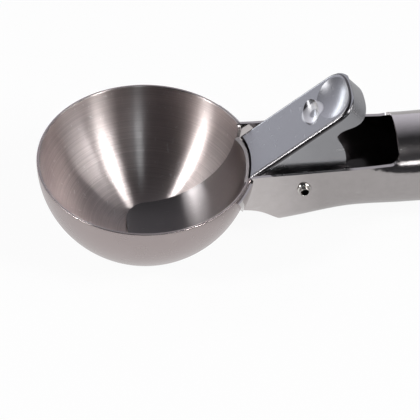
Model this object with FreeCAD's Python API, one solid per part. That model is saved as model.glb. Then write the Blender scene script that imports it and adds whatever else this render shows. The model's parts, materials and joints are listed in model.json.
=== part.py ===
import FreeCAD, Part
import math
import os

# Lever ice cream scoop in stainless steel sheet, with a thumb lever that sweeps a scraper blade
# through the bowl. Everything is modelled level first: the centre of the bowl's rim is the origin,
# the rim is the plane Z = 0 and the handle runs along +X. At the end the scoop is laid down on
# its bowl and its handle, as it rests on a table.

# Driving dimensions in millimetres and degrees
sheet = 0.8
bowl_radius = 29.0
rim_break = 0.2
notch_width = 19.4
notch_depth = 7.0
notch_corner = 2.5
notch_lip = 1.8

handle_radius = 11.85
handle_drop = 6.68
palm_place = 108.0
palm_reach = 62.0
palm_swell = 0.65
front_narrowing = 0.672
rear_narrowing = 1.6
channel_half_width = 11.0
slot_end = 67.3
slot_corner = 2.5
flat_until = 46.0
round_from = 66.0
boxy_from = 34.0
roof_boxiness = 6.0
roof_round_from = 70.0
floor_boxiness = 3.3
floor_round_from = 60.0
tube_end = 141.0
cap_straight = 9.5
ear_turn = 41.9
ear_drop = 0.9
hang_hole_radius = 3.0
hang_hole_place = 146.0
spigot_length = 3.0

lever_tilt = 40.56
lever_front = 28.0
lever_front_height = -1.65
lever_thickness = 1.0
lever_half_width = 8.8
lever_length = 34.3
lever_end_depth = 6.4
lever_bend = 1.3
lever_end_squareness = 2.5
lever_front_radius = 28.4
thumb_dish_place = 28.6
thumb_dish_depth = 1.0
thumb_dish_radius = 14.5
thumb_dish_side_radius = 24.3
dimple_place = 21.3
dimple_depth = 1.0
dimple_radius = 3.7
dimple_side_radius = 12.0
lobe_place = 10.8
lobe_depth = 4.7
lobe_radius = 13.6
lobe_front = 1.2
skirt_side_depth = 4.4
skirt_end_depth = 6.4

blade_thickness = 0.7
blade_gap = 0.3
blade_half_width = 8.7
blade_reach = 4.7
blade_corner = 5.5
blade_below_plate = 0.1
blade_tab_length = 14.0
blade_tab_margin = 1.2

pivot_x = 41.5
pivot_z = -5.4
rivet_radius = 1.6
rivet_bore = 1.1
rivet_bore_depth = 6.0
rivet_lip = 1.4
rivet_lip_radius = 1.45
rivet_collar = 0.55
rivet_head_radius = 3.1
rivet_head = 0.9
rivet_head_bevel = 0.5
sleeve_radius = 2.6
washer_radius = 4.0
running_gap = 0.05
seat_gap = 0.02

spring_wire = 1.1
spring_turns = 5
spring_gap = 0.5
spring_clearance = 0.5
spring_arm_angle = 150.0
spring_foot_angle = 248.0
spring_arm_length = 19.9
spring_foot_length = 18.1

origin = FreeCAD.Vector(0, 0, 0)
along_x = FreeCAD.Vector(1, 0, 0)
along_y = FreeCAD.Vector(0, 1, 0)
along_z = FreeCAD.Vector(0, 0, 1)
pivot = FreeCAD.Vector(pivot_x, 0, pivot_z)


def point(x, y, z):
    return FreeCAD.Vector(x, y, z)


def side_face(edges):
    """A flat face from its edges in order."""
    return Part.Face(Part.Wire(edges))


def straight(start, end):
    return Part.LineSegment(start, end).toShape()


def arc(start, middle, end):
    return Part.Arc(start, middle, end).toShape()


def corner_arc(start, corner, end):
    """The arc that leaves the start towards the corner and arrives at the end from it."""
    middle = (start + end) * 0.5
    half_chord = (end - start).Length / 2
    turn = math.acos(half_chord / (corner - start).Length)
    crown = middle + (corner - middle) * (math.tan(turn / 2) / math.tan(turn))
    return arc(start, crown, end)


def spline(points):
    curve = Part.BSplineCurve()
    curve.interpolate(points)
    return curve.toShape()


def through_width(face, half_width):
    """Extrudes a face of the XZ plane the same distance to both sides."""
    moved = face.translated(point(0, -half_width, 0))
    return moved.extrude(point(0, 2 * half_width, 0))


def cross_pin(x, z, radius, half_length):
    """A cylinder across the scoop."""
    return Part.makeCylinder(radius, 2 * half_length, point(x, -half_length, z), along_y)


# Bowl: a half ball of sheet with a notch towards the handle, where the blade swings out
def half_ball_wall():
    """The bowl's wall turned round Z, its rim with both edges broken."""
    inner = bowl_radius - sheet
    slope = math.sqrt(0.5)
    bottom = point(0, 0, -bowl_radius)
    outer_side = point(bowl_radius * slope, 0, -bowl_radius * slope)
    outer_top = point(math.sqrt(bowl_radius ** 2 - rim_break ** 2), 0, -rim_break)
    rim_outside = point(bowl_radius - rim_break, 0, 0)
    rim_inside = point(inner + rim_break, 0, 0)
    inner_top = point(math.sqrt(inner ** 2 - rim_break ** 2), 0, -rim_break)
    inner_side = point(inner * slope, 0, -inner * slope)
    floor = point(0, 0, -inner)
    edges = [
        arc(bottom, outer_side, outer_top),
        straight(outer_top, rim_outside),
        straight(rim_outside, rim_inside),
        straight(rim_inside, inner_top),
        arc(inner_top, inner_side, floor),
        straight(floor, bottom),
    ]
    return side_face(edges).revolve(origin, along_z, 360)


def notch_side(side):
    """Half of the notch's outline, from above the rim down: flared at the rim, rounded below."""
    x = bowl_radius / 2
    half = side * notch_width / 2
    lip = side * notch_lip
    corner = side * notch_corner
    lip_top = 0.1
    above = 5.0
    low = -notch_depth
    flare_start = point(x, half + lip, lip_top)
    flare_end = point(x, half, lip_top - notch_lip)
    round_start = point(x, half, low + notch_corner)
    round_end = point(x, half - corner, low)
    return [
        straight(point(x, 0, above), point(x, half + lip, above)),
        straight(point(x, half + lip, above), flare_start),
        corner_arc(flare_start, point(x, half, lip_top), flare_end),
        straight(flare_end, round_start),
        corner_arc(round_start, point(x, half, low), round_end),
        straight(round_end, point(x, 0, low)),
    ]


def notch_cutter():
    profile = Part.Wire(notch_side(-1) + notch_side(1)[::-1])
    return Part.Face(profile).extrude(point(bowl_radius, 0, 0)).removeSplitter()


def scoop_bowl():
    return half_ball_wall().cut(notch_cutter())


# Handle shell: one sheet, boxy and open on top at the bowl, a round closed tube from the slot's end on
def handle_radius_at(x):
    """The tube swells a little towards the palm and narrows again to its end."""
    narrowing = rear_narrowing if x > palm_place else front_narrowing
    return handle_radius + palm_swell - narrowing * ((x - palm_place) / palm_reach) ** 2


def half_width_at(x):
    """The channel widens smoothly to the tube."""
    share = min(max((x - flat_until) / (round_from - flat_until), 0.0), 1.0)
    smooth = share * share * (3 - 2 * share)
    return channel_half_width + (handle_radius_at(x) - channel_half_width) * smooth


def outline_power(x, boxiness, round_place):
    """Exponent of the section's outline: 2 is round, more is boxier."""
    most = 1.2
    share = min(max((round_place - x) / (round_place - boxy_from), 0.0), most)
    return 2 + boxiness * share ** 2


def section(x, inset):
    """The handle's closed outline at x, set in by the given distance."""
    width = half_width_at(x) - inset
    height = handle_radius_at(max(x, round_from)) - inset
    roof = outline_power(x, roof_boxiness, roof_round_from)
    floor = outline_power(x, floor_boxiness, floor_round_from)
    points = []
    count = 32
    seam_angle = math.radians(60)
    for step in range(count):
        angle = seam_angle + 2 * math.pi * step / count
        across = abs(math.cos(angle)) / width
        upright = abs(math.sin(angle)) / height
        power = roof if math.sin(angle) > 0 else floor
        reach = (across ** power + upright ** power) ** (-1 / power)
        points.append(point(x, reach * math.cos(angle), reach * math.sin(angle) - handle_drop))
    curve = Part.BSplineCurve()
    curve.interpolate(points, PeriodicFlag=True)
    return Part.Wire([curve.toShape()])


def handle_loft(inset, first, last):
    """The handle's bar, lofted through its sections from the first place to the last."""
    middle = [30.0, 36.0, 42.0, 48.0, 54.0, 60.0, round_from, 76.0, 90.0, palm_place, 126.0, 140.0]
    stations = [first] + [x for x in middle if first < x < last] + [last]
    return Part.makeLoft([section(x, inset) for x in stations], True, False)


def slot_cutter():
    """Everything above the rim's level from the bowl to the slot's end, with rounded rear corners."""
    start = 10.0
    top = 12.0
    round_start = point(slot_end - slot_corner, 0, 0)
    round_end = point(slot_end, 0, slot_corner)
    edges = [
        straight(point(start, 0, 0), round_start),
        corner_arc(round_start, point(slot_end, 0, 0), round_end),
        straight(round_end, point(slot_end, 0, top)),
        straight(point(slot_end, 0, top), point(start, 0, top)),
        straight(point(start, 0, top), point(start, 0, 0)),
    ]
    return through_width(side_face(edges), 2 * channel_half_width)


def chin_cutter():
    """What is missing below the walls in front: their edge rises from the floor to the bowl."""
    heel = point(37.6, 0, -19.2)
    bowl_end = point(20.0, 0, -11.2)
    floor = -24.0
    rising = spline([heel, point(34.3, 0, -15.8), point(29.6, 0, -12.6), point(25.3, 0, -11.5), bowl_end])
    edges = [
        rising,
        straight(bowl_end, point(bowl_end.x, 0, floor)),
        straight(point(bowl_end.x, 0, floor), point(heel.x, 0, floor)),
        straight(point(heel.x, 0, floor), heel),
    ]
    return through_width(side_face(edges), 2 * channel_half_width)


def ear(side):
    """The sheet's end, bent outward and laid on the bowl, where it is welded."""
    turn = math.radians(ear_turn)
    beyond = 2 * bowl_radius
    corners = [
        point(math.cos(turn), side * math.sin(turn), 0),
        point(23.8, side * 13.4, -9.0),
        point(25.3, side * 10.6, -11.5),
        point(27.0, side * 10.6, 0),
    ]
    corners = [corner.normalize() * beyond for corner in corners]
    triangles = [[origin, first, second] for first, second in zip(corners, corners[1:] + corners[:1])]
    triangles.append(corners[:3])
    triangles.append([corners[0], corners[2], corners[3]])
    faces = [Part.Face(Part.makePolygon(triangle + triangle[:1])) for triangle in triangles]
    wedge = Part.Solid(Part.Shell(faces))
    if wedge.Volume < 0:
        wedge.reverse()
    skin = Part.makeSphere(bowl_radius + sheet).cut(Part.makeSphere(bowl_radius))
    above = Part.makeBox(2 * beyond, 2 * beyond, beyond, point(-beyond, -beyond, -ear_drop))
    return skin.common(wedge).cut(above)


def handle_shell():
    front = 22.0
    margin = 1.0
    tube = handle_loft(0.0, front, tube_end).cut(handle_loft(sheet, front - margin, tube_end + margin))
    tube = tube.cut(slot_cutter()).cut(chin_cutter())
    tube = tube.fuse([ear(-1), ear(1)])
    tube = tube.cut(Part.makeSphere(bowl_radius))
    tube = tube.cut(cross_pin(pivot_x, pivot_z, rivet_radius + running_gap, 2 * channel_half_width))
    return tube.removeSplitter()


# End cap: a drawn cup that closes the tube, with a spigot inside it and the hanging hole through it
def cup(radius, start, ball_start):
    """A round bar from the start along X that ends in half a ball."""
    slope = math.sqrt(0.5)
    edges = [
        straight(point(start, 0, 0), point(start, 0, radius)),
        straight(point(start, 0, radius), point(ball_start, 0, radius)),
        arc(
            point(ball_start, 0, radius),
            point(ball_start + radius * slope, 0, radius * slope),
            point(ball_start + radius, 0, 0),
        ),
        straight(point(ball_start + radius, 0, 0), point(start, 0, 0)),
    ]
    bar = side_face(edges).revolve(origin, along_x, 360)
    return bar.translated(point(0, 0, -handle_drop))


def hanging_hole(radius):
    """A hole straight down through the cap."""
    length = 3 * handle_radius
    start = point(hang_hole_place, 0, -length / 2 - handle_drop)
    return Part.makeCylinder(radius, length, start, along_z)


def spigot_disc(radius):
    """The spigot as a full disc that stands into the tube."""
    start = point(tube_end - spigot_length, 0, -handle_drop)
    return Part.makeCylinder(radius, spigot_length + sheet, start, along_x)


def end_cap():
    margin = 1.0
    spigot = handle_radius_at(tube_end) - sheet - running_gap
    ball_start = tube_end + cap_straight
    cap = cup(handle_radius_at(tube_end), tube_end, ball_start).fuse(spigot_disc(spigot))
    cap = cap.cut(cup(spigot - sheet, tube_end - spigot_length - margin, ball_start))
    return cap.cut(hanging_hole(hang_hole_radius + sheet)).removeSplitter()


# Hanging eyelet: a sleeve through both walls of the cap, flush with them
def hang_eyelet():
    sleeve = hanging_hole(hang_hole_radius + sheet - running_gap).cut(hanging_hole(hang_hole_radius))
    return sleeve.common(cup(handle_radius_at(tube_end), tube_end, tube_end + cap_straight))


# Thumb lever: a stamped channel, modelled with its plate on top, then tilted into place
def lever_outline(inset):
    """Plan of the lever: straight sides and a rounded thumb end."""
    half = lever_half_width - inset
    end_start = lever_length - lever_end_depth
    end_length = lever_end_depth - inset
    front = -3.0
    points = []
    count = 16
    for step in range(count + 1):
        angle = math.pi * (step / count - 0.5)
        power = lever_end_squareness
        reach = (abs(math.cos(angle)) ** power + abs(math.sin(angle)) ** power) ** (-1 / power)
        x = end_start + end_length * reach * math.cos(angle)
        points.append(point(x, half * reach * math.sin(angle), 0))
    edges = [
        straight(point(front, -half, 0), points[0]),
        spline(points),
        straight(points[-1], point(front, half, 0)),
        straight(point(front, half, 0), point(front, -half, 0)),
    ]
    return Part.Face(Part.Wire(edges))


def lever_profile():
    """Side view of what is kept: skirt at the thumb end, lobe round the pivot."""
    rear = -4.0
    above = 2.0
    end = lever_length + 1.0
    waist = point(24.2, 0, -5.0)
    lobe_drop = math.sqrt(lobe_radius ** 2 - (lobe_front - lobe_place) ** 2)
    front_low = point(lobe_front, 0, -lobe_depth - lobe_drop)
    lobe_bottom = point(lobe_place, 0, -lobe_depth - lobe_radius)
    skirt_end = point(end, 0, -skirt_end_depth)
    skirt = spline([
        waist,
        point(27.5, 0, -skirt_side_depth),
        point(31.0, 0, -skirt_end_depth + 0.5),
        skirt_end,
    ])
    edges = [
        straight(point(rear, 0, above), point(rear, 0, -lever_thickness)),
        straight(point(rear, 0, -lever_thickness), point(lobe_front, 0, -lever_thickness)),
        straight(point(lobe_front, 0, -lever_thickness), front_low),
        arc(front_low, lobe_bottom, waist),
        skirt,
        straight(skirt_end, point(end, 0, above)),
        straight(point(end, 0, above), point(rear, 0, above)),
    ]
    return side_face(edges)


def tilted(shape):
    """Turns a shape modelled on the lever's own axes into its place on the scoop."""
    turned = shape.copy()
    turned.rotate(origin, along_y, -lever_tilt)
    return turned.translated(point(lever_front, 0, lever_front_height))


def punch(place, depth, radius, side_radius, grown):
    """A barrel that lies across the lever and presses a hollow of the given depth into the plate.

    The barrel is as round as the radius along the lever and as the side radius across it. It is
    grown on all sides by the sheet to give the hollow's underside.
    """
    axis_height = radius - depth
    reach = math.sqrt((side_radius + grown) ** 2 - (side_radius - radius) ** 2)
    first = point(place, -reach, axis_height)
    last = point(place, reach, axis_height)
    bottom = point(place, 0, -depth - grown)
    face = side_face([arc(first, bottom, last), straight(last, first)])
    return face.revolve(point(place, 0, axis_height), along_y, 360)


def pressed(plate, place, depth, radius, side_radius):
    """Presses a hollow into the plate, whose sheet stands out below by as much."""
    half = lever_half_width - lever_thickness
    low = 2 * lever_thickness + depth
    below = Part.makeBox(lever_length, 2 * half, low, point(0, -half, -low - lever_thickness / 2))
    bump = punch(place, depth, radius, side_radius, lever_thickness).common(below)
    return plate.fuse(bump).cut(punch(place, depth, radius, side_radius, 0))


def thumb_lever():
    depth = 24.0
    small = 0.01
    block = lever_outline(0.0).extrude(point(0, 0, -depth))
    top_edges = [
        edge for edge in block.Edges
        if abs(edge.BoundBox.ZMin) < small and edge.BoundBox.XMax > 0
    ]
    block = block.makeFillet(lever_bend, top_edges)
    hollow = lever_outline(lever_thickness).translated(point(0, 0, -lever_thickness))
    block = block.cut(hollow.extrude(point(0, 0, -depth)))
    block = block.common(through_width(lever_profile(), 2 * lever_half_width))
    block = pressed(block, thumb_dish_place, thumb_dish_depth, thumb_dish_radius, thumb_dish_side_radius)
    block = pressed(block, dimple_place, dimple_depth, dimple_radius, dimple_side_radius)
    lever = tilted(block)
    lever = lever.cut(Part.makeCylinder(lever_front_radius, 2 * bowl_radius, point(0, 0, -bowl_radius)))
    return lever.cut(cross_pin(pivot_x, pivot_z, sleeve_radius + running_gap, 2 * lever_half_width))


# Scraper blade: a strip of a ball that follows the bowl, with a tab under the lever's plate
def blade_strip(outer):
    """The block that the blade is cut from a ball with, its lower corners rounded."""
    small = 0.01
    margin = 5.0
    length = blade_reach + outer + margin
    start = point(-blade_reach, -blade_half_width, -outer - margin)
    block = Part.makeBox(length, 2 * blade_half_width, outer + margin, start)
    corners = [
        edge for edge in block.Edges
        if abs(edge.BoundBox.XMax + blade_reach) < small and edge.BoundBox.ZLength > margin
    ]
    return block.makeFillet(blade_corner, corners)


def blade_tab():
    """The tab as it lies against the plate from below, a little too long towards the bowl."""
    half = blade_half_width - blade_tab_margin
    overlap = 6.0
    start = point(-overlap, -half, -lever_thickness - blade_thickness)
    return tilted(Part.makeBox(blade_tab_length + overlap, 2 * half, blade_thickness, start))


def scraper_blade():
    outer = bowl_radius - sheet - blade_gap
    inner_ball = Part.makeSphere(outer - blade_thickness)
    blade = Part.makeSphere(outer).cut(inner_ball).common(blade_strip(outer))
    wide = 2 * blade_half_width
    above_plate = Part.makeBox(2 * wide, 2 * wide, bowl_radius, point(-wide, -wide, -blade_below_plate))
    return blade.cut(tilted(above_plate)).fuse(blade_tab().cut(inner_ball)).removeSplitter()


# Pivot: a tubular rivet through both walls, in a sleeve that keeps the walls apart
def pivot_sleeve():
    half = channel_half_width - sheet - seat_gap
    sleeve = cross_pin(pivot_x, pivot_z, sleeve_radius, half)
    return sleeve.cut(cross_pin(pivot_x, pivot_z, rivet_radius + running_gap, half))


def pivot_rivet():
    """Turned round its own axis: bored and rolled over a collar on the near side, headed behind."""
    near = -channel_half_width - seat_gap
    lip_end = near - rivet_lip
    lip_round = (rivet_lip_radius - rivet_bore) / 2
    slope = math.sqrt(0.5)
    head_start = channel_half_width + seat_gap
    head_end = head_start + rivet_head
    bevel_radius = rivet_head_radius - rivet_head_bevel
    bore_end = lip_end + rivet_bore_depth
    collar_radius = rivet_lip_radius + rivet_collar
    collar_side = point(rivet_lip_radius + rivet_collar * slope, near - rivet_collar * slope, 0)
    bore_mouth = point(rivet_bore, lip_end + lip_round, 0)
    lip_crown = point(rivet_bore + lip_round, lip_end, 0)
    lip_outside = point(rivet_lip_radius, lip_end + lip_round, 0)
    collar_top = point(rivet_lip_radius, near - rivet_collar, 0)
    corners = [
        point(collar_radius, near, 0),
        point(rivet_radius, near, 0),
        point(rivet_radius, head_start, 0),
        point(rivet_head_radius, head_start, 0),
        point(rivet_head_radius, head_end - rivet_head_bevel, 0),
        point(bevel_radius, head_end, 0),
        point(0, head_end, 0),
        point(0, bore_end, 0),
        point(rivet_bore, bore_end, 0),
        bore_mouth,
    ]
    edges = [
        arc(bore_mouth, lip_crown, lip_outside),
        straight(lip_outside, collar_top),
        arc(collar_top, collar_side, corners[0]),
    ]
    edges += [straight(first, second) for first, second in zip(corners, corners[1:])]
    return side_face(edges).revolve(origin, along_y, 360).translated(pivot)


def lever_washers():
    """One washer on each side, between the lever and the handle's wall."""
    inner = lever_half_width + running_gap
    thickness = channel_half_width - sheet - running_gap - inner
    washers = []
    for side in (-1, 1):
        start = point(pivot_x, side * inner, pivot_z)
        ring = Part.makeCylinder(washer_radius, thickness, start, along_y * side)
        hole = Part.makeCylinder(sleeve_radius + running_gap, thickness, start, along_y * side)
        washers.append(ring.cut(hole))
    return Part.makeCompound(washers)


# Return spring: coils round the sleeve, one arm under the lever's plate and one on the handle's floor
def biarc(start, start_way, end, end_way):
    """Two tangent arcs from one point and direction to another."""
    chord = end - start
    both = start_way + end_way
    spread = 2 * (1 - start_way.dot(end_way))
    along = chord.dot(both)
    reach = (math.sqrt(along ** 2 + spread * chord.dot(chord)) - along) / spread
    first_corner = start + start_way * reach
    last_corner = end - end_way * reach
    joint = (first_corner + last_corner) * 0.5
    return [corner_arc(start, first_corner, joint), corner_arc(joint, last_corner, end)]


def coil_radius():
    return sleeve_radius + spring_clearance + spring_wire / 2


def coil_frame(angle, first_angle, last_angle):
    """Place and direction of the coil at an angle about the pivot."""
    pitch = spring_wire + spring_gap
    radius = coil_radius()
    middle_angle = (first_angle + last_angle) / 2
    side = pitch * (angle - middle_angle) / (2 * math.pi)
    place = pivot + point(radius * math.cos(angle), side, radius * math.sin(angle))
    way = point(-radius * math.sin(angle), pitch / (2 * math.pi), radius * math.cos(angle))
    return place, way.normalize()


def return_spring():
    first_angle = math.radians(spring_arm_angle)
    last_angle = math.radians(spring_foot_angle + 360 * spring_turns)
    quarters = 4 * spring_turns + 1
    angles = [first_angle + (last_angle - first_angle) * step / quarters for step in range(quarters + 1)]
    frames = [coil_frame(angle, first_angle, last_angle) for angle in angles]
    place, way = frames[0]
    arm_tip = place - way * spring_arm_length
    edges = [straight(arm_tip, place)]
    for (start, start_way), (end, end_way) in zip(frames, frames[1:]):
        edges += biarc(start, start_way, end, end_way)
    last_place, last_way = frames[-1]
    edges.append(straight(last_place, last_place + last_way * spring_foot_length))
    path = Part.Wire(edges)
    ring = Part.Wire([Part.Circle(arm_tip, way, spring_wire / 2).toShape()])
    tube = Part.BRepOffsetAPI.MakePipeShell(path)
    tube.add(ring)
    tube.build()
    tube.makeSolid()
    straightened = math.pi * (spring_wire / 2) ** 2 * path.Length
    print("spring: least gap between its turns", round(least_turn_gap(frames), 2))
    print("spring: volume over section times length", round(tube.shape().Volume / straightened, 4))
    return tube.shape()


def least_turn_gap(frames):
    """Free distance between points at least three quarters of a turn apart."""
    places = [place for place, way in frames]
    gaps = []
    for index, place in enumerate(places):
        for other in places[index + 3:]:
            gaps.append((other - place).Length - spring_wire)
    return min(gaps)


# Rest: the level scoop is turned until its bowl and its handle both touch the table
def rest_tilt():
    """Angle at which the handle's underside reaches the table that the bowl stands on."""
    angles = []
    steps = 60
    first = 90.0
    last = tube_end + cap_straight
    for step in range(steps + 1):
        x = first + (last - first) * step / steps
        low = handle_drop + handle_radius_at(min(x, tube_end))
        angles.append(math.asin(bowl_radius / math.hypot(x, low)) - math.atan2(low, x))
    return min(angles)


def rear_end(tilt):
    """How far the end cap reaches along the table when the scoop lies down."""
    ball_middle = tube_end + cap_straight
    return ball_middle * math.cos(tilt) - handle_drop * math.sin(tilt) + handle_radius_at(tube_end)


def laid_down(shape):
    tilt = rest_tilt()
    resting = shape.copy()
    resting.rotate(origin, along_y, math.degrees(tilt))
    middle = (rear_end(tilt) - bowl_radius) / 2
    return resting.translated(point(-middle, 0, bowl_radius))


nodes = {
    "scoop_bowl": scoop_bowl,
    "handle_shell": handle_shell,
    "end_cap": end_cap,
    "hang_eyelet": hang_eyelet,
    "thumb_lever": thumb_lever,
    "scraper_blade": scraper_blade,
    "pivot_sleeve": pivot_sleeve,
    "pivot_rivet": pivot_rivet,
    "lever_washers": lever_washers,
    "return_spring": return_spring,
}

os.makedirs("parts", exist_ok=True)
print("laid down by", round(math.degrees(rest_tilt()), 3), "degrees")
print("moved along X by", round(-(rear_end(rest_tilt()) - bowl_radius) / 2, 3))
for name, make in nodes.items():
    shape = laid_down(make())
    print(name, shape.ShapeType, len(shape.Solids), round(shape.Volume, 1), shape.isValid())
    shape.exportStep("parts/" + name + ".step")
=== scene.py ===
"""Looks of the lever ice cream scoop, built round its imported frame.

Sizes are in millimetres where a name or a docstring says so, and in metres otherwise. Places on
the scoop are given level, with the centre of the bowl's rim as the origin, the rim as the plane
Z = 0 and the handle along +X. The function laid() turns them to the way the scoop lies on the
table.
"""

import json
import logging
import math
from dataclasses import dataclass
from enum import Enum

import bpy
from mathutils import Matrix, Vector

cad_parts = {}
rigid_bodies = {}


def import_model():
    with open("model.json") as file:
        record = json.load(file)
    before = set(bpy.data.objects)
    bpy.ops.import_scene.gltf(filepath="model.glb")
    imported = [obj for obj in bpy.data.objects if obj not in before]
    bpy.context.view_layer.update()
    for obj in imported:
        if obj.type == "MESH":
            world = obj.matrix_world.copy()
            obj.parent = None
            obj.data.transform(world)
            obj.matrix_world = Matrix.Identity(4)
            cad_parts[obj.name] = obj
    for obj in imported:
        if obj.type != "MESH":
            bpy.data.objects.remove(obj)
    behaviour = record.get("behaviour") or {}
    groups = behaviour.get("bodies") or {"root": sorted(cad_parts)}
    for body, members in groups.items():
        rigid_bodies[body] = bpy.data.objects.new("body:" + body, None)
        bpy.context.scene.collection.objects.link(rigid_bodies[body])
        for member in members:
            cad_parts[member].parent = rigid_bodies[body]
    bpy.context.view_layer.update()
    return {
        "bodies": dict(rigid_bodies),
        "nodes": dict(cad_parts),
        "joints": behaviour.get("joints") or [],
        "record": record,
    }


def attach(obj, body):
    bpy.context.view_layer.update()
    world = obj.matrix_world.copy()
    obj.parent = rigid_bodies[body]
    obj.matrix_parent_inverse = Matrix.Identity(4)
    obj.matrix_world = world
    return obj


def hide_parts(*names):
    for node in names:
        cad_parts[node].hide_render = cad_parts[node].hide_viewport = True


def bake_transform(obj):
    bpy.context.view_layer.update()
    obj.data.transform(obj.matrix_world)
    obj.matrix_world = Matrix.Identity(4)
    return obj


log = logging.getLogger("scoop")

MM = 0.001

# The level scoop is laid down by a turn about Y and a move along X, in millimetres
REST_TILT = math.radians(3.931)
REST_SHIFT = -66.367

# Sizes that several pieces share, in millimetres
BOWL_RADIUS = 29.0
SHEET = 0.8

# The way that the lever's flat top faces on the level scoop
LEVER_TOP = (-0.651, 0.0, 0.759)

# Edges that bend by more than this are the ones that get rounded, or stay sharp in the shading
SHARP_BEND = math.radians(40)

Colour = tuple[float, float, float]
Place = tuple[float, float, float]
Socket = bpy.types.NodeSocket


def laid(x: float, y: float, z: float) -> Vector:
    """Turns a place on the level scoop to its place on the table.

    Args:
        x: distance along the handle from the middle of the bowl, in millimetres.
        y: distance across the scoop, in millimetres.
        z: height over the rim's plane, in millimetres.

    Returns:
        The place in the row's frame, in metres.
    """
    cos, sin = math.cos(REST_TILT), math.sin(REST_TILT)
    return Vector((x * cos + z * sin + REST_SHIFT, y, z * cos - x * sin + BOWL_RADIUS)) * MM


def laid_direction(x: float, y: float, z: float) -> Vector:
    """Turns a direction on the level scoop to the unit direction that it has on the table."""
    return (laid(x, y, z) - laid(0.0, 0.0, 0.0)).normalized()


def lay_down(mesh: bpy.types.Mesh, place: Place) -> None:
    """Turns a mesh to the way that the scoop lies, and moves it to its place.

    Args:
        mesh: a mesh made level, with the place as its origin, in metres.
        place: the place on the level scoop, in millimetres.
    """
    mesh.transform(Matrix.Translation(laid(*place)) @ Matrix.Rotation(REST_TILT, 4, "Y"))


def opaque(colour: Colour) -> tuple[float, float, float, float]:
    """Adds full opacity to a colour."""
    return (*colour, 1.0)


def placed(name: str, data: bpy.types.ID) -> bpy.types.Object:
    """Makes an object of a mesh, a lamp or a camera and puts it in the scene.

    Args:
        name: the object's name.
        data: what the object shows.

    Returns:
        The object, unmoved and unturned.
    """
    made = bpy.data.objects.new(name, data)
    bpy.context.scene.collection.objects.link(made)
    return made


def baked(holder: bpy.types.Object) -> bpy.types.Mesh:
    """Keeps the shape that an object's modifiers give as a plain mesh.

    Args:
        holder: the object, which is removed.

    Returns:
        The mesh.
    """
    evaluated = holder.evaluated_get(bpy.context.evaluated_depsgraph_get())
    mesh = bpy.data.meshes.new_from_object(evaluated)
    bpy.data.objects.remove(holder)
    return mesh


class Tree:
    """A short way to build nodes, for materials and for shapes alike."""

    def __init__(self, tree: bpy.types.NodeTree) -> None:
        """Keeps the tree that nodes are added to."""
        self.tree = tree

    def node(self, kind: str, inputs: dict | None = None, **settings: object) -> bpy.types.Node:
        """Adds one node.

        Args:
            kind: Blender's name of the node type.
            inputs: values or sockets by input name or index.
            settings: properties of the node itself.

        Returns:
            The new node.
        """
        made = self.tree.nodes.new(kind)
        for name, value in settings.items():
            setattr(made, name, value)
        for name, value in (inputs or {}).items():
            self.feed(made.inputs[name], value)
        return made

    def feed(self, socket: Socket, value: object) -> None:
        """Links a socket to another, or sets its value.

        Args:
            socket: the input to feed.
            value: the output to link it to, or its value.
        """
        if isinstance(value, bpy.types.NodeSocket):
            self.tree.links.new(value, socket)
        else:
            socket.default_value = value

    def math(self, operation: str, first: object, second: object = 0.0) -> Socket:
        """Adds a maths node and gives its result.

        Args:
            operation: Blender's name of the operation.
            first: the first number or socket.
            second: the second, where the operation has one.

        Returns:
            The socket with the result.
        """
        return self.node("ShaderNodeMath", {0: first, 1: second}, operation=operation).outputs[0]

    def total(self, *terms: object) -> Socket:
        """Adds several numbers or sockets up.

        Args:
            terms: what is added, two terms or more.

        Returns:
            The socket with the sum.
        """
        result = terms[0]
        for term in terms[1:]:
            result = self.math("ADD", result, term)
        return result

    def product(self, *factors: object) -> Socket:
        """Multiplies several numbers or sockets.

        Args:
            factors: what is multiplied, two factors or more.

        Returns:
            The socket with the product.
        """
        result = factors[0]
        for factor in factors[1:]:
            result = self.math("MULTIPLY", result, factor)
        return result

    def vector(
        self, operation: str, first: object, second: object = (0.0, 0.0, 0.0)
    ) -> Socket:
        """Adds a vector maths node and gives its result.

        Args:
            operation: Blender's name of the operation.
            first: the first vector or socket.
            second: the second, where the operation has one.

        Returns:
            The socket with the result, a number for a length or a dot product.
        """
        made = self.node("ShaderNodeVectorMath", {0: first, 1: second}, operation=operation)
        return made.outputs["Value" if operation in ("LENGTH", "DOT_PRODUCT") else "Vector"]

    def joined(self, x: object, y: object, z: object) -> Socket:
        """Makes a vector of three numbers or sockets."""
        return self.node("ShaderNodeCombineXYZ", {0: x, 1: y, 2: z}).outputs[0]

    def parts(self, vector: Socket) -> list[Socket]:
        """Splits a vector into its three numbers."""
        return list(self.node("ShaderNodeSeparateXYZ", {0: vector}).outputs)

    def span(
        self, value: object, low: float, high: float, to_low: float, to_high: float
    ) -> Socket:
        """Maps a value from one span to another and holds it at both ends.

        Args:
            value: the number or socket to map.
            low: start of its span.
            high: end of its span.
            to_low: what the start becomes.
            to_high: what the end becomes.

        Returns:
            The socket with the mapped value.
        """
        inputs = {0: value, 1: low, 2: high, 3: to_low, 4: to_high}
        return self.node("ShaderNodeMapRange", inputs).outputs[0]

    def mix(self, share: object, first: object, second: object) -> Socket:
        """Mixes two colours.

        Args:
            share: 0 for the first colour, 1 for the second.
            first: a colour or socket.
            second: a colour or socket.

        Returns:
            The socket with the mixed colour.
        """
        made = self.node("ShaderNodeMix", {0: share, 6: first, 7: second}, data_type="RGBA")
        return made.outputs[2]

    def noise(
        self, place: Socket, scale: float, detail: float = 3.0, roughness: float = 0.55
    ) -> Socket:
        """Adds a noise texture.

        Args:
            place: where the noise is read.
            scale: how many of its waves fit in a metre.
            detail: how many finer layers it has.
            roughness: how strong the finer layers are.

        Returns:
            The socket with the noise, from 0 to 1.
        """
        inputs = {"Vector": place, "Scale": scale, "Detail": detail, "Roughness": roughness}
        return self.node("ShaderNodeTexNoise", inputs).outputs["Fac"]


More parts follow.
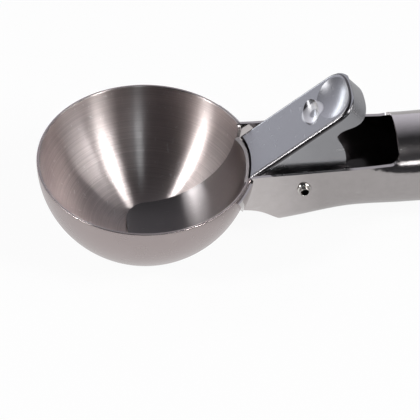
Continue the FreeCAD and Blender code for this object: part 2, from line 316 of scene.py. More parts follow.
class Grain(Enum):
    """How a metal surface was brushed: in lines round an axis, or with no direction."""

    NONE = None
    ROUND_THE_BOWL = (0.0, 0.0, 1.0)
    OVER_THE_BLADE = (0.0, 1.0, 0.0)

    def axis(self) -> Vector:
        """The axis that the lines run round, as it points on the table."""
        return laid_direction(*self.value)

    def side(self) -> Vector:
        """A direction square to the axis, from which turns round it are counted."""
        across = (0.0, 1.0, 0.0) if self == Grain.ROUND_THE_BOWL else (1.0, 0.0, 0.0)
        return laid_direction(*across)


@dataclass(frozen=True)
class MarkOrPaintedLight:
    """What a scratch, or a painted highlight or shade, does to the steel that it is on: its colour,
    and how much it roughens it.
    """

    colour: Colour
    rougher: float


SCRATCH = MarkOrPaintedLight((0.85, 0.84, 0.83), 0.2)
# Painted highlight: a bright colour on the blade's rounded edges
PAINTED_EDGE_HIGHLIGHT = MarkOrPaintedLight((0.95, 0.93, 0.93), 0.3)
# Painted shade: a near-black colour on the lever's bends, standing in for the dark line there
PAINTED_BEND_SHADE = MarkOrPaintedLight((0.06, 0.055, 0.055), 0.0)
# Painted highlight: a bright ring round the lever's dimple
PAINTED_RING_HIGHLIGHT = MarkOrPaintedLight((0.95, 0.94, 0.95), 0.15)


@dataclass(frozen=True)
class PaintedHighlightRing:
    """A ring of painted highlight, standing in for the light that the dimple's steep sides catch,
    round a place on the level scoop.

    Lengths are in millimetres, and the ring fades over the soft length at both of its sides.
    """

    middle: Place
    inner: float
    outer: float
    soft: float = 0.5
    strength: float = 0.8

    def share(self, tree: Tree, centred: Socket) -> Socket:
        """How much a place belongs to the ring.

        Args:
            tree: the material's tree.
            centred: place on the scoop, from the middle of the bowl.

        Returns:
            The ring's strength on it and 0 beside it.
        """
        middle = laid(*self.middle) - laid(0.0, 0.0, 0.0)
        reach = tree.vector("LENGTH", tree.vector("SUBTRACT", centred, tuple(middle)))
        starts = (self.inner - self.soft) * MM
        ends = (self.outer + self.soft) * MM
        past_inner = tree.span(reach, starts, self.inner * MM, 0.0, self.strength)
        within_outer = tree.span(reach, self.outer * MM, ends, 1.0, 0.0)
        return tree.product(past_inner, within_outer)


@dataclass(frozen=True)
class MetalFinish:
    """A sheet metal finish: its colour, its gloss, the way it was brushed, its scratches and
    smudges, and the highlights and shade painted on it.

    The light and the dark colour are those of the fine lines, the roughness spreads by as much
    to both sides, and lengths are in millimetres. Smudges, scratches, the painted highlight on
    edges and the painted shade on bends are given by their strength, from 0 to 1.
    """

    name: str
    slot: str
    light: Colour
    dark: Colour
    roughness: float
    roughness_spread: float = 0.03
    grain: Grain = Grain.NONE
    anisotropy: float = 0.0
    line_spacing: float = 0.35
    line_length: float = 60.0
    line_height: float = 0.0
    contrast: float = 0.2
    smudge_size: float = 16.0
    smudges: float = 0.4
    scratches: float = 0.0
    painted_edge_highlight: float = 0.0
    painted_bend_shade: float = 0.0
    ring: PaintedHighlightRing | None = None

    def material(self) -> bpy.types.Material:
        """Builds the finish as a node material.

        Returns:
            The new material.
        """
        made = bpy.data.materials.new(self.name)
        made.use_nodes = True
        tree = Tree(made.node_tree)
        shader = made.node_tree.nodes["Principled BSDF"]
        shader.inputs["Metallic"].default_value = 1.0
        place = tree.node("ShaderNodeTexCoord").outputs["Object"]
        centred = tree.vector("SUBTRACT", place, tuple(laid(0.0, 0.0, 0.0)))
        lines = self.lines(tree, centred)
        cloudy = tree.noise(centred, 1.0 / (self.smudge_size * MM))
        fine = tree.total(
            tree.product(lines, 1.0 - self.smudges),
            tree.product(cloudy, self.smudges),
        )
        share = tree.span(fine, 0.5 - self.contrast, 0.5 + self.contrast, 0.0, 1.0)
        dull = self.roughness + self.roughness_spread
        glossy = self.roughness - self.roughness_spread
        colour = tree.mix(share, opaque(self.dark), opaque(self.light))
        rough = tree.span(share, 0.0, 1.0, dull, glossy)
        # Scratches, painted highlights and painted shade are mixed into the colour here
        for mark_or_paint, strength in self.marks_and_painted_light(tree, centred):
            colour = tree.mix(strength, colour, opaque(mark_or_paint.colour))
            rough = tree.total(rough, tree.product(strength, mark_or_paint.rougher))
        tree.feed(shader.inputs["Base Color"], colour)
        tree.feed(shader.inputs["Roughness"], rough)
        if self.line_height > 0.0:
            inputs = {"Height": lines, "Strength": 0.5, "Distance": self.line_height * MM}
            tree.feed(shader.inputs["Normal"], tree.node("ShaderNodeBump", inputs).outputs[0])
        if self.grain != Grain.NONE:
            shader.inputs["Anisotropic"].default_value = self.anisotropy
            tree.feed(shader.inputs["Tangent"], self.across_the_grain(tree, centred))
        return made

    def lines(self, tree: Tree, centred: Socket) -> Socket:
        """The fine brushed lines.

        Args:
            tree: the material's tree.
            centred: place on the scoop, from the middle of the bowl.

        Returns:
            The lines as a height from 0 to 1.
        """
        per_metre = 1.0 / (self.line_spacing * MM)
        layers = 4.0
        if self.grain == Grain.NONE:
            drawn_out = tree.vector("MULTIPLY", centred, (0.15, 1.0, 0.15))
            return tree.noise(drawn_out, per_metre, layers, roughness=0.6)
        turn, sweep = self.round_and_across(tree, centred)
        stretch = self.line_spacing / self.line_length
        drawn_out = tree.joined(tree.product(turn, stretch), sweep, 0.0)
        return tree.noise(drawn_out, per_metre, layers, roughness=0.65)

    def round_and_across(self, tree: Tree, centred: Socket) -> tuple[Socket, Socket]:
        """Unrolls the ball that the surface lies on.

        Args:
            tree: the material's tree.
            centred: place on the scoop, from the middle of the bowl.

        Returns:
            How far the place lies round the grain's axis, and how far from its pole, in metres.
        """
        axis, side = self.grain.axis(), self.grain.side()
        other = axis.cross(side)
        turn = tree.math(
            "ARCTAN2",
            tree.vector("DOT_PRODUCT", centred, tuple(side)),
            tree.vector("DOT_PRODUCT", centred, tuple(other)),
        )
        pole = tree.vector("DOT_PRODUCT", tree.vector("NORMALIZE", centred), tuple(axis))
        radius = BOWL_RADIUS * MM
        return tree.product(turn, radius), tree.product(tree.math("ARCCOSINE", pole), radius)

    def marks_and_painted_light(self, tree: Tree, centred: Socket) -> list[tuple[MarkOrPaintedLight, Socket]]:
        """The scratches on the surface, and the highlights and shade painted on it.

        Args:
            tree: the material's tree.
            centred: place on the scoop, from the middle of the bowl.

        Returns:
            Each kind, a scratch or painted light, with how strongly it shows at the place.
        """
        found = []
        if self.scratches > 0.0:
            scratched = self.scratched(tree, centred)
            found.append((SCRATCH, tree.product(scratched, self.scratches)))
        # Painted highlight on rounded edges
        if self.painted_edge_highlight > 0.0:
            edge = self.off_the_ball(tree, centred)
            found.append((PAINTED_EDGE_HIGHLIGHT, tree.product(edge, self.painted_edge_highlight)))
        # Painted shade on bends
        if self.painted_bend_shade > 0.0:
            bend = self.on_a_bend(tree, centred)
            found.append((PAINTED_BEND_SHADE, tree.product(bend, self.painted_bend_shade)))
        # Painted highlight ring
        if self.ring is not None:
            found.append((PAINTED_RING_HIGHLIGHT, self.ring.share(tree, centred)))
        return found

    def scratched(self, tree: Tree, centred: Socket) -> Socket:
        """Short scratches from use, thinly scattered and in no one direction.

        Args:
            tree: the material's tree.
            centred: place on the scoop, from the middle of the bowl.

        Returns:
            1 on a scratch and 0 beside it.
        """
        per_metre = 1500.0
        starts, full = 0.68, 0.76
        moved_by = 0.1
        stretches = ((1.0, 0.07, 0.5), (0.08, 1.0, 0.4), (0.5, 0.3, 0.05))
        found = []
        for number, stretch in enumerate(stretches):
            moved = tree.vector("ADD", centred, (moved_by * number, 0.0, 0.0))
            stretched = tree.vector("MULTIPLY", moved, stretch)
            waves = tree.noise(stretched, per_metre, detail=2.0, roughness=0.5)
            found.append(tree.span(waves, starts, full, 0.0, 1.0))
        first, second, third = found
        return tree.math("MAXIMUM", tree.math("MAXIMUM", first, second), third)

    def off_the_ball(self, tree: Tree, centred: Socket) -> Socket:
        """Where the surface turns away from the ball that it lies on, as on a rounded edge, which
        is given a painted highlight.

        Near the rim such edges are left as they are.

        Args:
            tree: the material's tree.
            centred: place on the scoop, from the middle of the bowl.

        Returns:
            1 on such an edge and 0 beside it.
        """
        turned, on_the_ball = 0.90, 0.98
        low, near_rim = -9.0 * MM, -5.0 * MM
        normal = tree.node("ShaderNodeTexCoord").outputs["Normal"]
        facing = tree.vector("DOT_PRODUCT", normal, tree.vector("NORMALIZE", centred))
        edge = tree.span(tree.math("ABSOLUTE", facing), turned, on_the_ball, 1.0, 0.0)
        height = tree.vector("DOT_PRODUCT", centred, tuple(laid_direction(0.0, 0.0, 1.0)))
        return tree.product(edge, tree.span(height, low, near_rim, 1.0, 0.0))

    def on_a_bend(self, tree: Tree, centred: Socket) -> Socket:
        """Where the sheet bends away from its flat top and isn't yet square to it, which is given
        painted shade.

        Along the lever's long sides a slighter bend counts too, and not in the dish and the
        dimple between them.

        Args:
            tree: the material's tree.
            centred: place on the scoop, from the middle of the bowl.

        Returns:
            1 on a bend and 0 beside it.
        """
        bent, flat = 0.86, 0.935
        square, off_square = 0.1, 0.3
        middle_ends, side_starts = 6.4 * MM, 7.2 * MM
        slighter = 0.06
        top = tuple(laid_direction(*LEVER_TOP))
        normal = tree.node("ShaderNodeTexCoord").outputs["Normal"]
        facing = tree.math("ABSOLUTE", tree.vector("DOT_PRODUCT", normal, top))
        across = tree.math("ABSOLUTE", tree.parts(centred)[1])
        sooner = tree.span(across, middle_ends, side_starts, 0.0, slighter)
        leaving = tree.span(tree.math("SUBTRACT", facing, sooner), bent, flat, 1.0, 0.0)
        arriving = tree.span(facing, square, off_square, 0.0, 1.0)
        return tree.product(leaving, arriving)

    def across_the_grain(self, tree: Tree, centred: Socket) -> Socket:
        """The direction in which highlights are drawn out, square to the brushed lines.

        Args:
            tree: the material's tree.
            centred: place on the scoop, from the middle of the bowl.

        Returns:
            The unit direction.
        """
        normal = tree.node("ShaderNodeTexCoord").outputs["Normal"]
        along = tree.vector("CROSS_PRODUCT", tuple(self.grain.axis()), centred)
        across = tree.vector("NORMALIZE", tree.vector("CROSS_PRODUCT", normal, along))
        turned = tree.node(
            "ShaderNodeVectorTransform", {"Vector": across},
            vector_type="VECTOR", convert_from="OBJECT", convert_to="WORLD",
        )
        return turned.outputs[0]


BRUSHED_BOWL = MetalFinish(
    "brushed_bowl_steel", "bowl_steel", (0.66, 0.59, 0.575), (0.46, 0.41, 0.40), 0.35,
    roughness_spread=0.06, grain=Grain.ROUND_THE_BOWL, anisotropy=1.0,
    line_spacing=0.32, line_height=0.045, contrast=0.15, smudges=0.3, scratches=0.5,
)
SMOOTH_OUTSIDE = MetalFinish(
    "smooth_bowl_steel", "bowl_steel", (0.46, 0.40, 0.395), (0.41, 0.355, 0.35), 0.27,
    roughness_spread=0.01, grain=Grain.ROUND_THE_BOWL, contrast=0.35, smudges=0.8,
    smudge_size=14.0, scratches=0.02,
)
# The blade gets a painted highlight on its rounded edges
POLISHED_BLADE = MetalFinish(
    "polished_blade_steel", "blade_steel", (0.30, 0.28, 0.28), (0.26, 0.24, 0.245), 0.30,
    roughness_spread=0.01, grain=Grain.OVER_THE_BLADE, anisotropy=1.0, contrast=0.3,
    scratches=0.08, painted_edge_highlight=0.9,
)
BRIGHT_SHEET = MetalFinish(
    "bright_handle_steel", "handle_steel", (0.60, 0.565, 0.56), (0.55, 0.515, 0.51), 0.13,
    roughness_spread=0.02, scratches=0.12,
)
SATIN_SHEET = MetalFinish(
    "satin_lever_steel", "lever_steel", (0.45, 0.45, 0.47), (0.39, 0.39, 0.41), 0.26,
    # The lever's bends get painted shade
    roughness_spread=0.02, smudges=0.8, scratches=0.15, painted_bend_shade=0.85,
    # Painted highlight ring round the lever's dimple
    ring=PaintedHighlightRing((44.9, 0.0, 11.8), 1.6, 3.1),
)
RIVET_STEEL = MetalFinish(
    "bright_rivet_steel", "rivet_steel", (0.62, 0.60, 0.58), (0.52, 0.50, 0.48), 0.12,
    smudge_size=3.0,
)
SPRING_WIRE = MetalFinish(
    "drawn_spring_wire", "spring_steel", (0.50, 0.49, 0.48), (0.34, 0.33, 0.32), 0.28,
    roughness_spread=0.05, smudge_size=4.0,
)


@dataclass(frozen=True)
class NylonFinish:
    """Dark nylon, matt and faintly mottled."""

    name: str = "dark_washer_nylon"
    slot: str = "washer_plastic"
    light: Colour = (0.035, 0.035, 0.038)
    dark: Colour = (0.018, 0.018, 0.02)
    roughness: float = 0.5
    roughest: float = 0.6
    mottle_size: float = 1.5

    def material(self) -> bpy.types.Material:
        """Builds the finish as a node material.

        Returns:
            The new material.
        """
        made = bpy.data.materials.new(self.name)
        made.use_nodes = True
        tree = Tree(made.node_tree)
        shader = made.node_tree.nodes["Principled BSDF"]
        place = tree.node("ShaderNodeTexCoord").outputs["Object"]
        mottle = tree.noise(place, 1.0 / (self.mottle_size * MM))
        colour = tree.mix(mottle, opaque(self.dark), opaque(self.light))
        rough = tree.span(mottle, 0.0, 1.0, self.roughness, self.roughest)
        tree.feed(shader.inputs["Base Color"], colour)
        tree.feed(shader.inputs["Roughness"], rough)
        return made


Finish = MetalFinish | NylonFinish


def dress(frame: dict, node: str, finish: Finish) -> None:
    """Gives a node of the frame its finish.

    Args:
        frame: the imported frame.
        node: the node's name.
        finish: what it is made to look like.
    """
    shown = frame["nodes"][node]
    shown.data.materials.clear()
    shown.data.materials.append(finish.material())
    log.info("%s: %d faces, %s", node, len(shown.data.polygons), finish.name)


def softened(frame: dict, node: str, name: str, edge: float, finish: Finish) -> bpy.types.Object:
    """Makes a piece like a node of the frame with its sharp edges rounded, to take its place.

    Args:
        frame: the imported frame.
        node: the node's name.
        name: the new piece's name.
        edge: how far the rounding reaches from each edge, in millimetres.
        finish: what it is made to look like.

    Returns:
        The piece, with its place in its mesh and with no modifier.
    """
    steps = 3
    solid = frame["nodes"][node]
    holder = placed(name + "_maker", solid.data.copy())
    bevel = holder.modifiers.new("edges", "BEVEL")
    bevel.width = edge * MM
    bevel.segments = steps
    bevel.limit_method = "ANGLE"
    bevel.angle_limit = SHARP_BEND
    mesh = baked(holder)
    mesh.transform(solid.matrix_world)
    mesh.shade_smooth()
    mesh.set_sharp_from_angle(angle=SHARP_BEND)
    mesh.materials.clear()
    mesh.materials.append(finish.material())
    piece = placed(name, mesh)
    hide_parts(node)
    log.info("%s: %d faces, %s", name, len(mesh.polygons), finish.name)
    return piece


class ShapeTree(Tree):
    """A Geometry Nodes tree whose sizes are named inputs, and that is baked to a plain mesh."""

    def __init__(self, name: str, sizes: dict[str, float]) -> None:
        """Makes the tree with one input for each size.

        Args:
            name: name of the tree and of the piece that it makes.
            sizes: the sizes by their names, in metres, radians or counts.
        """
        super().__init__(bpy.data.node_groups.new(name, "GeometryNodeTree"))
        self.sizes = sizes
        interface = self.tree.interface
        for label in sizes:
            interface.new_socket(label, in_out="INPUT", socket_type="NodeSocketFloat")
        interface.new_socket("Shape", in_out="OUTPUT", socket_type="NodeSocketGeometry")
        self.entry = self.node("NodeGroupInput")

    def size(self, label: str) -> Socket:
        """The socket that brings a named size into the tree."""
        return self.entry.outputs[label]

    def bake(
        self,
        shape: Socket,
        finish: Finish,
        part: Socket | None = None,
        part_finish: Finish | None = None,
    ) -> bpy.types.Object:
        """Ends the tree, evaluates it and keeps the result as a plain mesh.

        Args:
            shape: the shape to hand over.
            finish: what it is made to look like.
            part: which faces look otherwise, if any do.
            part_finish: what those faces are made to look like.

        Returns:
            The piece, with its place in its mesh and with no modifier.
        """
        real = self.node("GeometryNodeRealizeInstances", {"Geometry": shape}).outputs[0]
        inputs = {"Geometry": real, "Material": finish.material()}
        dressed = self.node("GeometryNodeSetMaterial", inputs).outputs[0]
        if part_finish is not None:
            inputs = {"Geometry": dressed, "Selection": part, "Material": part_finish.material()}
            dressed = self.node("GeometryNodeSetMaterial", inputs).outputs[0]
        self.node("NodeGroupOutput", {0: dressed})
        holder = placed(self.tree.name + "_maker", bpy.data.meshes.new("maker"))
        modifier = holder.modifiers.new("shape", "NODES")
        modifier.node_group = self.tree
        for item in self.tree.interface.items_tree:
            if item.in_out == "INPUT":
                modifier[item.identifier] = self.sizes[item.name]
        piece = placed(self.tree.name, baked(holder))
        log.info("%s: %d faces, %s", piece.name, len(piece.data.polygons), finish.name)
        return piece


@dataclass
class Bowl:
    """The half ball of sheet with its rounded rim and its notch towards the handle.

    All sizes are in millimetres.
    """

    radius: float = BOWL_RADIUS
    sheet: float = SHEET
    edge: float = 0.22
    notch_width: float = 19.4
    notch_depth: float = 7.0
    notch_corner: float = 2.5
    notch_lip: float = 1.8
    steps_round: int = 240
    steps_over: int = 132
    finish: MetalFinish = BRUSHED_BOWL
    outside_finish: MetalFinish = SMOOTH_OUTSIDE

    def build(self) -> bpy.types.Object:
        """Makes the bowl, which takes the place of its node.

        Returns:
            The bowl.
        """
        tool = self.notch_tool()
        tree = ShapeTree("bowl_of_brushed_sheet", {
            "Middle Radius": (self.radius - self.sheet / 2) * MM,
            "Half Sheet": self.sheet / 2 * MM,
            "Edge Rounding": self.edge * MM,
        })
        wall = self.wall(tree)
        cutter = tree.node("GeometryNodeObjectInfo", {"Object": tool}).outputs["Geometry"]
        notched = tree.node(
            "GeometryNodeMeshBoolean", {0: wall, 1: cutter},
            operation="DIFFERENCE", solver="EXACT",
        )
        shaded = self.smooth(tree, notched.outputs[0])
        from_middle = tree.vector("LENGTH", tree.node("GeometryNodeInputPosition").outputs[0])
        outside = tree.node(
            "FunctionNodeCompare", {0: from_middle, 1: tree.size("Middle Radius")},
            operation="GREATER_THAN",
        )
        piece = tree.bake(shaded, self.finish, outside.outputs[0], self.outside_finish)
        bpy.data.objects.remove(tool)
        lay_down(piece.data, (0.0, 0.0, 0.0))
        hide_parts("scoop_bowl")
        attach(piece, "handle")
        return piece

    def wall(self, tree: ShapeTree) -> Socket:
        """Rolls a grid up into the wall: outside up, over the rim and down inside.

        Args:
            tree: the bowl's tree.

        Returns:
            The closed wall of a whole half ball.
        """
        rim_share = 0.12
        join_within = 0.01 * MM
        grid = tree.node("GeometryNodeMeshGrid", {
            "Size X": 1.0,
            "Size Y": 1.0,
            "Vertices X": self.steps_round + 1,
            "Vertices Y": self.steps_over + 1,
        })
        place = tree.parts(tree.node("GeometryNodeInputPosition").outputs[0])
        turn = tree.product(tree.total(place[0], 0.5), 2 * math.pi)
        side = tree.math("SIGN", place[1])
        way = tree.product(tree.math("ABSOLUTE", place[1]), 2.0)
        over_rim = tree.math("MINIMUM", tree.math("DIVIDE", way, rim_share), 1.0)
        down_wall = tree.span(way, rim_share, 1.0, 0.0, 1.0)
        names = ("Half Sheet", "Edge Rounding", "Middle Radius")
        half, edge, middle = (tree.size(name) for name in names)
        across = tree.product(half, over_rim)
        past_flat = tree.math("SUBTRACT", across, tree.math("SUBTRACT", half, edge))
        bend = tree.math("DIVIDE", tree.math("MAXIMUM", past_flat, 0.0), edge)
        fall = tree.math("SQRT", tree.math("SUBTRACT", 1.0, tree.product(bend, bend)))
        drop = tree.product(edge, tree.math("SUBTRACT", 1.0, fall))
        radius = tree.math("SUBTRACT", middle, tree.product(side, across))
        start = tree.math("ARCSINE", tree.math("DIVIDE", drop, radius))
        rest = tree.math("SUBTRACT", math.pi / 2, start)
        angle = tree.total(start, tree.product(down_wall, rest))
        out = tree.product(radius, tree.math("COSINE", angle))
        rolled = tree.joined(
            tree.product(out, tree.math("COSINE", turn)),
            tree.product(out, tree.math("SINE", turn)),
            tree.product(radius, tree.math("SINE", angle), -1.0),
        )
        inputs = {"Geometry": grid.outputs["Mesh"], "Position": rolled}
        moved = tree.node("GeometryNodeSetPosition", inputs)
        inputs = {"Geometry": moved.outputs[0], "Distance": join_within}
        return tree.node("GeometryNodeMergeByDistance", inputs).outputs[0]

    def smooth(self, tree: ShapeTree, shape: Socket) -> Socket:
        """Shades the wall smoothly and keeps the notch's edges sharp.

        Args:
            tree: the bowl's tree.
            shape: the notched wall.

        Returns:
            The shaded wall.
        """
        smooth = tree.node("GeometryNodeSetShadeSmooth", {"Geometry": shape, "Shade Smooth": True})
        bend = tree.node("GeometryNodeInputMeshEdgeAngle").outputs["Unsigned Angle"]
        flat = tree.node("FunctionNodeCompare", {0: bend, 1: SHARP_BEND}, operation="LESS_THAN")
        inputs = {"Geometry": smooth.outputs[0], "Shade Smooth": flat.outputs[0]}
        return tree.node("GeometryNodeSetShadeSmooth", inputs, domain="EDGE").outputs[0]

    def notch_outline(self) -> list[tuple[float, float]]:
        """The notch as seen along the handle, flared at the rim and rounded at its floor.

        Returns:
            Its corners across and up, in millimetres, from one side of the top to the other.
        """
        steps = 12
        above = 3.0
        lip_top = 0.1
        half = self.notch_width / 2
        side = [(half + self.notch_lip, above)]
        for step in range(steps + 1):
            turn = step / steps * math.pi / 2
            side.append((
                half + self.notch_lip * (1 - math.sin(turn)),
                lip_top - self.notch_lip * (1 - math.cos(turn)),
            ))
        for step in range(steps + 1):
            turn = step / steps * math.pi / 2
            side.append((
                half - self.notch_corner * (1 - math.cos(turn)),
                -self.notch_depth + self.notch_corner * (1 - math.sin(turn)),
            ))
        return side + [(-across, up) for across, up in reversed(side)]

    def notch_tool(self) -> bpy.types.Object:
        """Makes the bar that cuts the notch.

        Returns:
            The bar, which is removed once the bowl is baked.
        """
        starts, ends = self.radius / 2, self.radius * 1.5
        outline = self.notch_outline()
        count = len(outline)
        corners = []
        for x in (starts, ends):
            corners += [(x * MM, across * MM, up * MM) for across, up in outline]
        faces = [tuple(range(count)), tuple(range(2 * count - 1, count - 1, -1))]
        for number in range(count):
            after = (number + 1) % count
            faces.append((number, number + count, after + count, after))
        mesh = bpy.data.meshes.new("notch_tool")
        mesh.from_pydata(corners, [], faces)
        return placed("notch_tool", mesh)


@dataclass
class Handle:
    """The sheet handle with its end cap and the eyelet that it hangs by."""

    sheet_finish: MetalFinish = BRIGHT_SHEET
    eyelet_finish: MetalFinish = RIVET_STEEL

    def build(self, frame: dict) -> None:
        """Dresses the handle's nodes.

        Args:
            frame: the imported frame.
        """
        dress(frame, "handle_shell", self.sheet_finish)
        dress(frame, "end_cap", self.sheet_finish)
        dress(frame, "hang_eyelet", self.eyelet_finish)


@dataclass
class Lever:
    """The thumb lever and the blade that it swings through the bowl.

    The blade's edges are rounded by a radius in millimetres.
    """

    lever_finish: MetalFinish = SATIN_SHEET
    blade_finish: MetalFinish = POLISHED_BLADE
    blade_edge: float = 0.28

    def build(self, frame: dict) -> None:
        """Dresses the lever's nodes, the blade with smooth edges in place of its node.

        Args:
            frame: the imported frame.
        """
        dress(frame, "thumb_lever", self.lever_finish)
        name = "blade_with_smooth_edges"
        blade = softened(frame, "scraper_blade", name, self.blade_edge, self.blade_finish)
        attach(blade, "lever")


@dataclass
class Pivot:
    """The rivet that the lever turns on, the sleeve round it and the washers beside the lever."""

    rivet_finish: MetalFinish = RIVET_STEEL
    washer_finish: NylonFinish = NylonFinish()

    def build(self, frame: dict) -> None:
        """Dresses the pivot's nodes.

        Args:
            frame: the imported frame.
        """
        dress(frame, "pivot_rivet", self.rivet_finish)
        dress(frame, "pivot_sleeve", self.rivet_finish)
        dress(frame, "lever_washers", self.washer_finish)


@dataclass
class ReturnSpring:
    """The spring round the pivot: an arm under the lever, the coils, and a foot on the floor.

    All sizes are in millimetres, and angles in degrees from the handle's far end upwards.
    """

    pivot: Place = (41.5, 0.0, -5.4)
    wire: float = 1.1
    coil_radius: float = 3.65
    turns: int = 5
    gap: float = 0.5
    arm_angle: float = 150.0
    foot_angle: float = 248.0
    arm_length: float = 19.9
    foot_length: float = 18.1
    steps: int = 480
    steps_round: int = 14
    finish: MetalFinish = SPRING_WIRE

    def build(self) -> bpy.types.Object:
        """Makes the spring, which takes the place of its node.

        Returns:
            The spring.
        """
        first = math.radians(self.arm_angle)
        last = math.radians(self.foot_angle + 360 * self.turns)
        rise = (self.wire + self.gap) / (2 * math.pi)
        tree = ShapeTree("return_spring_coils", {
            "Wire Radius": self.wire / 2 * MM,
            "Coil Radius": self.coil_radius * MM,
            "Rise": rise * MM,
            "First Angle": first,
            "Last Angle": last,
            "Arm Length": self.arm_length * MM,
            "Foot Length": self.foot_length * MM,
        })
        piece = tree.bake(self.coils(tree), self.finish)
        lay_down(piece.data, self.pivot)
        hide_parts("return_spring")
        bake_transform(piece)
        return piece

    def coils(self, tree: ShapeTree) -> Socket:
        """Sweeps the wire along its path round the pivot.

        Args:
            tree: the spring's tree.

        Returns:
            The wire, closed at both ends.
        """
        line = tree.node("GeometryNodeCurvePrimitiveLine", {"End": (1.0, 0.0, 0.0)})
        inputs = {"Curve": line.outputs[0], "Count": self.steps}
        points = tree.node("GeometryNodeResampleCurve", inputs)
        share = tree.parts(tree.node("GeometryNodeInputPosition").outputs[0])[0]
        names = ("Coil Radius", "Rise", "First Angle", "Last Angle", "Arm Length", "Foot Length")
        radius, rise, first, last, arm, foot = (tree.size(name) for name in names)
        squares = tree.total(tree.product(radius, radius), tree.product(rise, rise))
        slope = tree.math("SQRT", squares)
        wound = tree.product(tree.math("SUBTRACT", last, first), slope)
        along = tree.math("SUBTRACT", tree.product(share, tree.total(arm, wound, foot)), arm)
        held = tree.math("MINIMUM", tree.math("MAXIMUM", along, 0.0), wound)
        beyond = tree.math("SUBTRACT", along, held)
        angle = tree.total(first, tree.math("DIVIDE", held, slope))
        middle = tree.product(tree.total(first, last), 0.5)
        cos, sin = tree.math("COSINE", angle), tree.math("SINE", angle)
        place = tree.joined(
            tree.product(radius, cos),
            tree.product(rise, tree.math("SUBTRACT", angle, middle)),
            tree.product(radius, sin),
        )
        onward = tree.joined(tree.product(radius, sin, -1.0), rise, tree.product(radius, cos))
        way = tree.vector("NORMALIZE", onward)
        straight = tree.vector("MULTIPLY", way, tree.joined(beyond, beyond, beyond))
        path = tree.node("GeometryNodeSetPosition", {
            "Geometry": points.outputs[0],
            "Position": tree.vector("ADD", place, straight),
        })
        ring = tree.node("GeometryNodeCurvePrimitiveCircle", {
            "Resolution": self.steps_round,
            "Radius": tree.size("Wire Radius"),
        })
        swept = tree.node("GeometryNodeCurveToMesh", {
            "Curve": path.outputs[0],
            "Profile Curve": ring.outputs[0],
            "Fill Caps": True,
        })
        inputs = {"Geometry": swept.outputs[0], "Shade Smooth": True}
        return tree.node("GeometryNodeSetShadeSmooth", inputs).outputs[0]


@dataclass
class Camera:
    """The camera as it stood for the picture, given round the level scoop.

    Angles are in degrees and lengths in millimetres.
    """

    azimuth: float = -6.758
    elevation: float = 43.941
    distance: float = 646.798
    yaw: float = -1.542
    pitch: float = -1.23
    roll: float = -0.487
    focal_pixels: float = 2421.542
    picture_pixels: float = 420.0
    sensor: float = 36.0
    nearest: float = 10.0

    def build(self) -> None:
        """Makes the camera and gives it to the scene."""
        side, rise = math.radians(self.azimuth), math.radians(self.elevation)
        towards = Vector((
            math.sin(side) * math.cos(rise),
            -math.cos(side) * math.cos(rise),
            math.sin(rise),
        ))
        ahead = -towards
        right = ahead.cross(Vector((0.0, 0.0, 1.0))).normalized()
        upward = right.cross(ahead)
        turn = Matrix.Rotation(math.radians(self.yaw), 3, upward)
        ahead, right = turn @ ahead, turn @ right
        turn = Matrix.Rotation(math.radians(self.pitch), 3, right)
        ahead, upward = turn @ ahead, turn @ upward
        turn = Matrix.Rotation(math.radians(self.roll), 3, ahead)
        right, upward = turn @ right, turn @ upward
        data = bpy.data.cameras.new("camera")
        data.sensor_width = self.sensor
        data.lens = self.focal_pixels / self.picture_pixels * self.sensor
        data.clip_start = self.nearest * MM
        camera = placed("camera", data)
        level = Matrix((right, upward, -ahead)).transposed()
        rest = Matrix.Rotation(REST_TILT, 3, "Y")
        place = towards * self.distance
        camera.matrix_world = Matrix.Translation(laid(*place)) @ (rest @ level).to_4x4()
        bpy.context.scene.camera = camera


@dataclass
class Softbox:
    """A lamp with an even face, placed by its direction from the middle of the bowl.

    Angles are in degrees, and the distance and the face's sides in metres.
    """

    name: str
    azimuth: float
    elevation: float
    width: float
    height: float
    power: float
    colour: Colour = (1.0, 1.0, 1.0)
    distance: float = 1.0

    def build(self) -> None:
        """Makes the lamp, aimed at the bowl."""
        turn, rise = math.radians(self.azimuth), math.radians(self.elevation)
        level = math.cos(rise)
        way = laid_direction(math.cos(turn) * level, math.sin(turn) * level, math.sin(rise))
        data = bpy.data.lights.new(self.name, "AREA")
        data.shape = "RECTANGLE"
        data.size = self.width
        data.size_y = self.height
        data.energy = self.power
        data.color = self.colour
        lamp = placed(self.name, data)
        lamp.location = laid(0.0, 0.0, 0.0) + way * self.distance
        lamp.rotation_euler = (-way).to_track_quat("-Z", "Y").to_euler()


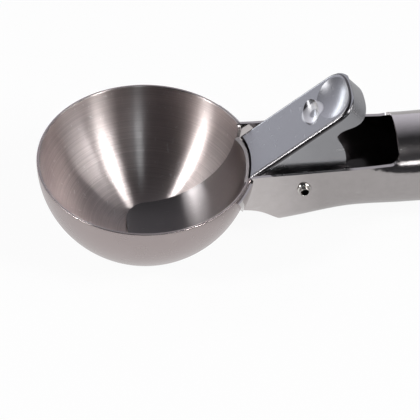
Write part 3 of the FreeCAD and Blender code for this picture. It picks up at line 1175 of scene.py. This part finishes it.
@dataclass
class Studio:
    """The pale floor, the surroundings that the metal mirrors, and the lamps.

    Lengths are in metres. The fade is where along the table the floor goes from the first of the
    mirrored whites to the second.
    """

    floor_half: float = 1.5
    floor_colour: Colour = (0.8, 0.8, 0.8)
    floor_white: float = 0.93
    mirror_fade: tuple[float, float] = (-0.035, -0.018)
    mirror_white: tuple[float, float] = (0.85, 0.55)
    glow: float = 0.8
    glow_falloff: float = 1.35
    glow_colour: Colour = (0.96, 0.96, 1.05)
    dimmest: float = 0.035

    def build(self) -> None:
        """Makes everything that isn't the scoop."""
        self.floor()
        self.surroundings()
        for lamp in self.lamps():
            lamp.build()
        bpy.context.scene.view_settings.view_transform = "Standard"

    def lamps(self) -> list[Softbox]:
        """Places the lamps: most on the camera's side, two of them behind the scoop.

        Returns:
            The lamps, not yet built.
        """
        return [
            Softbox("lamp_left", -164.0, 34.0, 0.12, 0.3, 5.0),
            Softbox("lamp_far_left", 165.0, 42.0, 0.4, 0.25, 1.2),
            Softbox("lamp_behind", 123.0, 0.5, 1.6, 0.45, 8.0, (0.9, 0.95, 1.0), distance=3.0),
            Softbox("lamp_right", -42.0, 42.0, 0.13, 0.45, 5.0),
            Softbox("lamp_far_right", -14.0, 30.0, 0.45, 0.3, 2.4),
            Softbox("lamp_thin", -88.5, 28.0, 0.05, 0.5, 4.0, (0.85, 0.96, 1.0), distance=3.0),
            Softbox("lamp_low", -76.0, 25.5, 0.14, 0.4, 0.8, distance=3.0),
        ]

    def floor(self) -> None:
        """Makes the floor, white to the eye and, in what mirrors it, dimmer past the bowl."""
        white_light = opaque((1.0, 1.0, 1.0))
        half = self.floor_half
        mesh = bpy.data.meshes.new("floor")
        corners = [(-half, -half, 0.0), (half, -half, 0.0), (half, half, 0.0), (-half, half, 0.0)]
        mesh.from_pydata(corners, [], [(0, 1, 2, 3)])
        made = bpy.data.materials.new("floor_white")
        made.use_nodes = True
        tree = Tree(made.node_tree)
        tree.tree.nodes.clear()
        path = tree.node("ShaderNodeLightPath")
        by_eye, mirroring, through = (
            path.outputs[name] for name in ("Is Camera Ray", "Is Glossy Ray", "Is Transmission Ray")
        )
        lit = tree.node("ShaderNodeBsdfDiffuse", {"Color": opaque(self.floor_colour)})
        along = tree.parts(tree.node("ShaderNodeTexCoord").outputs["Object"])[0]
        mirrored = tree.span(along, *self.mirror_fade, *self.mirror_white)
        strength = tree.math("MAXIMUM", by_eye, mirrored)
        white = tree.node("ShaderNodeEmission", {"Color": white_light, "Strength": strength})
        seen = tree.math("MAXIMUM", by_eye, tree.math("MAXIMUM", mirroring, through))
        share = tree.product(seen, self.floor_white)
        inputs = {0: share, 1: lit.outputs[0], 2: white.outputs[0]}
        mixed = tree.node("ShaderNodeMixShader", inputs)
        tree.node("ShaderNodeOutputMaterial", {"Surface": mixed.outputs[0]})
        mesh.materials.append(made)
        placed("floor", mesh)

    def surroundings(self) -> None:
        """Sets what lies round the studio.

        It is white to the eye. To the metal that mirrors it, it is brighter behind the scoop and
        nearly dark on the camera's side.
        """
        world = bpy.data.worlds.new("studio")
        world.use_nodes = True
        bpy.context.scene.world = world
        tree = Tree(world.node_tree)
        tree.tree.nodes.clear()
        way = tree.node("ShaderNodeTexCoord").outputs["Generated"]
        behind = tree.math("MAXIMUM", tree.parts(way)[1], 0.0)
        glow = tree.product(tree.math("POWER", behind, self.glow_falloff), self.glow)
        seen = tree.node("ShaderNodeLightPath").outputs["Is Camera Ray"]
        shown = tree.math("MAXIMUM", tree.total(glow, self.dimmest), seen)
        tint = tree.mix(seen, opaque(self.glow_colour), opaque((1.0, 1.0, 1.0)))
        grey = tree.node("ShaderNodeBackground", {"Color": tint, "Strength": shown})
        tree.node("ShaderNodeOutputWorld", {"Surface": grey.outputs[0]})


def main() -> None:
    """Builds the scoop's looks, sub-assembly by sub-assembly."""
    logging.basicConfig(level=logging.INFO, format="%(message)s")
    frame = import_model()
    Bowl().build()
    Handle().build(frame)
    Lever().build(frame)
    Pivot().build(frame)
    ReturnSpring().build()
    Studio().build()
    Camera().build()


if __name__ == "__main__":
    main()
